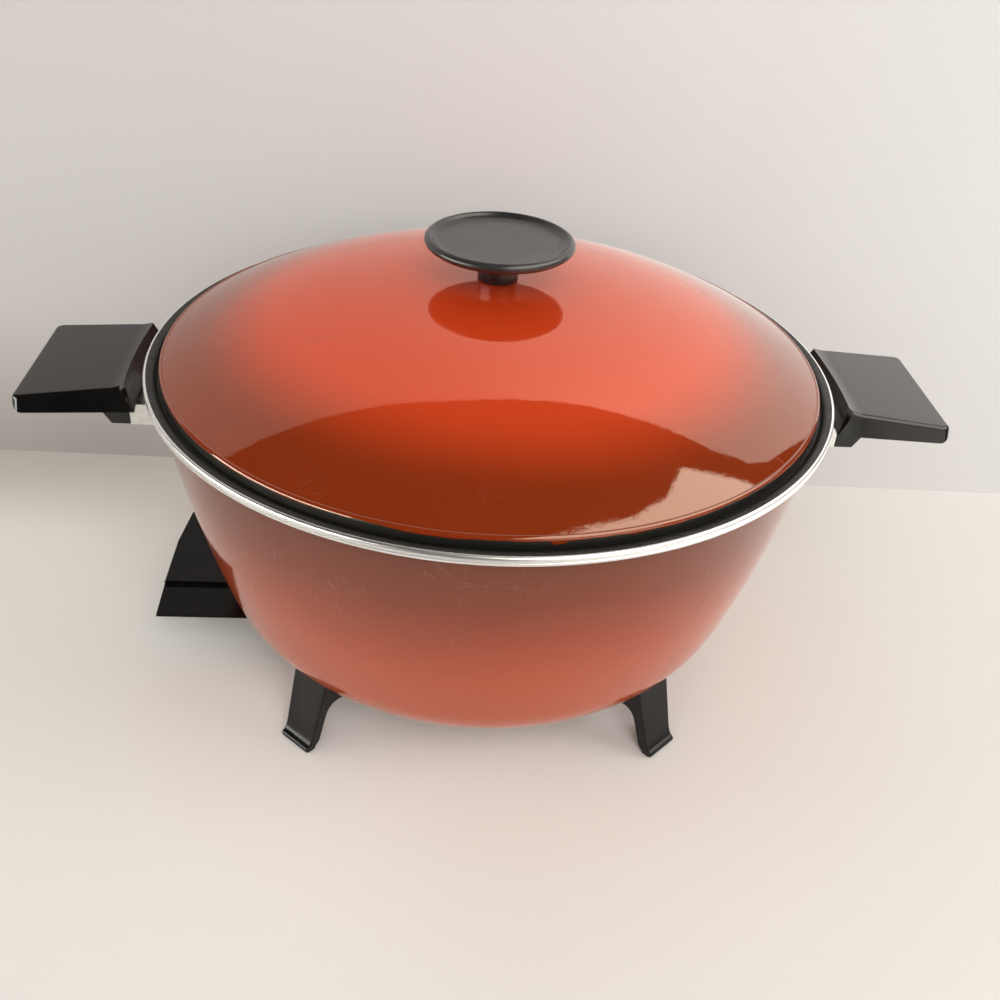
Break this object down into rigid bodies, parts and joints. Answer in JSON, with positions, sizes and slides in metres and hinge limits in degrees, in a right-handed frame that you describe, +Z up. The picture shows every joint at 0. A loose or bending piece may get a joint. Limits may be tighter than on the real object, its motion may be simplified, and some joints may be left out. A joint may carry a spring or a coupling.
{
  "type": "electric skillet",
  "caption": "Deep round enamelled electric skillet on splayed feet, with wing handles, a domed lift-off lid with a disc knob, and a stepped guard over the heat-control socket.",
  "frame": {"origin": "on the bowl's axis, at the level of the table under the feet", "axes": "+Z up along the bowl's axis, +X along the handles and away from the heat-control socket, +Y towards the back"},
  "size_m": [0.3752, 0.28, 0.1951],
  "materials": {
    "enamel": "glossy fired enamel, orange red shading to brown",
    "lid_enamel": "glossy fired enamel, orange red shading to brown",
    "phenolic": "moulded black phenolic, satin",
    "handle_phenolic": "moulded black phenolic, satin",
    "aluminium": "satin",
    "steel": "zinc plated",
    "sheath": "dull, heat darkened",
    "ceramic": "unglazed white",
    "contact": "bright nickel plate",
    "stainless": "satin stainless"
  },
  "bodies": {
    "cooker": {"bowl": "enamel", "handle_left": "handle_phenolic", "handle_right": "handle_phenolic", "handle_bracket_left": "aluminium", "handle_bracket_right": "aluminium", "handle_screws": "steel", "leg_front_left": "phenolic", "leg_front_right": "phenolic", "leg_rear_left": "phenolic", "leg_rear_right": "phenolic", "leg_screws": "steel", "base_plate": "aluminium", "heating_element": "sheath", "terminal_insulators": "ceramic", "terminal_pins": "contact", "terminal_bracket": "steel", "probe_well": "stainless", "control_guard": "phenolic", "guard_screws": "steel"},
    "lid": {"lid": "lid_enamel", "lid_knob": "phenolic", "knob_screw": "steel", "knob_washer": "steel"}
  },
  "joints": [
    {"name": "lid_lift", "type": "slide", "parent": "cooker", "child": "lid", "axis": [0, 0, 1], "range_m": [0, 0.15]}
  ]
}
